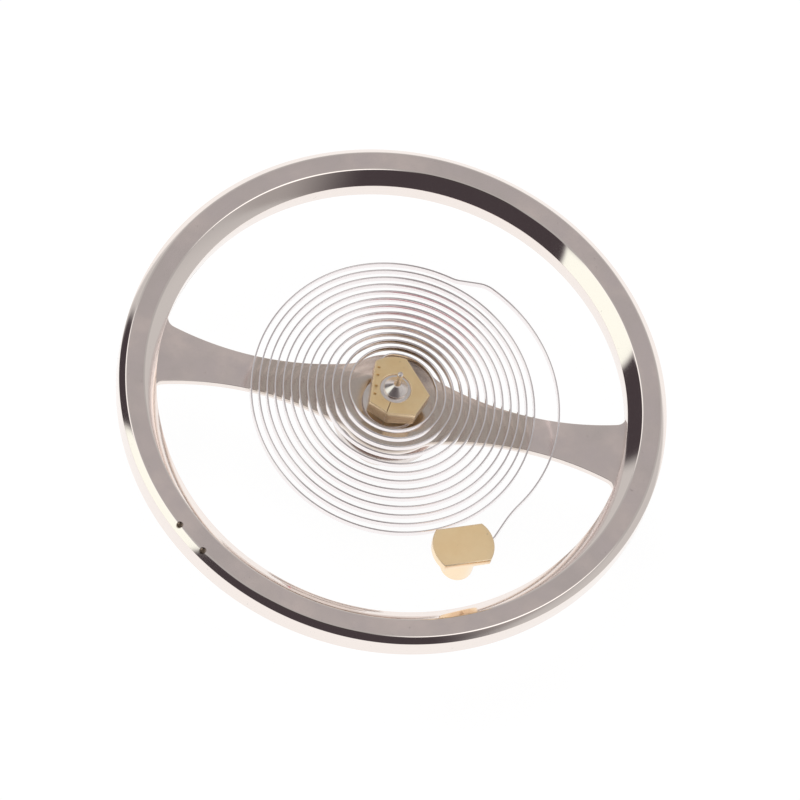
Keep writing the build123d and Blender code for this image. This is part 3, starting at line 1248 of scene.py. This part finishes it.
def make_floor():
    size = floor_half_size
    points = [(-size, -size, 0), (size, -size, 0), (size, size, 0), (-size, size, 0)]
    floor = in_scene("studio_floor", new_mesh("studio_floor", points, [(0, 1, 2, 3)]))
    floor.data.materials.append(floor_material())


def make_world():
    world = bpy.data.worlds.new("studio_white")
    bpy.context.scene.world = world
    world.use_nodes = True
    tree = world.node_tree
    strength = spread(tree, seen_rays(tree), world_light, 1.0, start=0.0, end=1.0)
    feed(tree, tree.nodes["Background"], {"Color": (1, 1, 1, 1), "Strength": strength})


def card_material(name, colour, strength):
    material, tree, shader = new_material(name)
    tree.nodes.remove(shader)
    clear = add(tree, "ShaderNodeBsdfTransparent").outputs[0]
    fade = add(tree, "ShaderNodeAttribute", attribute_name="fade").outputs["Fac"]
    shown = mixed_shader(tree, fade, clear, glow(tree, colour, strength))
    feed(tree, tree.nodes["Material Output"], {0: shown})
    return material


def ramp(value, width):
    # A smooth rise from 0 to 1 over the width.
    if width <= 0:
        return 1.0 if value >= 0 else 0.0
    part = min(max(value / width, 0), 1)
    return part * part * (3 - 2 * part)


def studio_card(name, azimuths, elevations, fades, colour, strength, distance):
    # A card bent round the object. It shows in reflections only, and fades out along its edges.
    (west, east), (low, high) = azimuths, elevations
    columns = ceil((east - west) / card_step_angle)
    rows = ceil((high - low) / card_step_angle)
    points, faces, fade = [], [], []
    for row in range(rows + 1):
        elevation = low + (high - low) * row / rows
        level = sin(radians(elevation)) * distance
        across = cos(radians(elevation)) * distance
        for column in range(columns + 1):
            azimuth = west + (east - west) * column / columns
            points.append((*(polar(across, azimuth)), level + rim_top))
            sides = ramp(azimuth - west, fades[0]) * ramp(east - azimuth, fades[1])
            fade.append(sides * ramp(elevation - low, fades[2]) * ramp(high - elevation, fades[3]))
    for row in range(rows):
        for column in range(columns):
            first = row * (columns + 1) + column
            faces.append((first, first + 1, first + columns + 2, first + columns + 1))
    mesh = new_mesh(name, points, faces)
    mesh.attributes.new("fade", "FLOAT", "POINT").data.foreach_set("value", fade)
    card = in_scene(name, mesh)
    card.data.materials.append(card_material(name, colour, strength))
    card.visible_camera = False
    card.visible_diffuse = False
    card.visible_transmission = False
    card.visible_shadow = False


def make_lamp():
    light = bpy.data.lights.new("soft_lamp", "AREA")
    light.shape = "DISK"
    light.size = lamp_size * MM
    light.energy = lamp_watts
    lamp = in_scene("soft_lamp", light)
    lamp.location = Vector(lamp_place) * MM
    lamp.rotation_euler = Vector(lamp_place).to_track_quat("Z", "Y").to_euler()
    lamp.visible_glossy = False
    lamp.visible_camera = False


def make_camera():
    swing, tilt, roll = (radians(turn) for turn in (camera_swing, camera_tilt, camera_roll))
    across = Vector((cos(swing), -sin(swing), 0))
    away = Vector((sin(swing), cos(swing), 0))
    up = away * cos(tilt) + Vector((0, 0, sin(tilt)))
    back = Vector((0, 0, cos(tilt))) - away * sin(tilt)
    right = across * cos(roll) + up * sin(roll)
    top = up * cos(roll) - across * sin(roll)
    target = Vector((0, 0, rim_top)) + right * camera_aim[0] + top * camera_aim[1]
    place = target + back * camera_distance
    lens = bpy.data.cameras.new("studio_camera")
    lens.lens = camera_lens
    lens.sensor_width = 36
    lens.clip_start = 0.01
    lens.clip_end = 2
    camera = in_scene("studio_camera", lens)
    turn = Matrix((right, top, back)).transposed().to_4x4()
    camera.matrix_world = Matrix.Translation(place * MM) @ turn
    bpy.context.scene.camera = camera


# ---- The whole balance

finish = make_materials()
fitted(make_wheel(), "balance_wheel", "balance_body", finish["nickel"])
fitted(make_staff(), "balance_staff", "balance_body", finish["steel"])
fitted(make_collet(), "collet", "balance_body", finish["brass"])
fitted(make_table(), "roller_table", "balance_body", finish["steel"])
fitted(make_safety_roller(), "safety_roller", "balance_body", finish["steel"])
fitted(make_jewel(), "impulse_jewel", "balance_body", finish["ruby"])
fitted(make_stud(), "stud", "stud_body", finish["stud brass"])
fitted(make_stud_pin(), "stud_pin", "stud_body", finish["stud brass"])

spring = make_spring()
shaded(spring)
spring.data.materials.append(finish["spring"])
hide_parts("hairspring")

make_floor()
make_world()
for card in studio_cards:
    studio_card(*card)
make_lamp()
make_camera()
bpy.context.scene.view_settings.view_transform = "Standard"
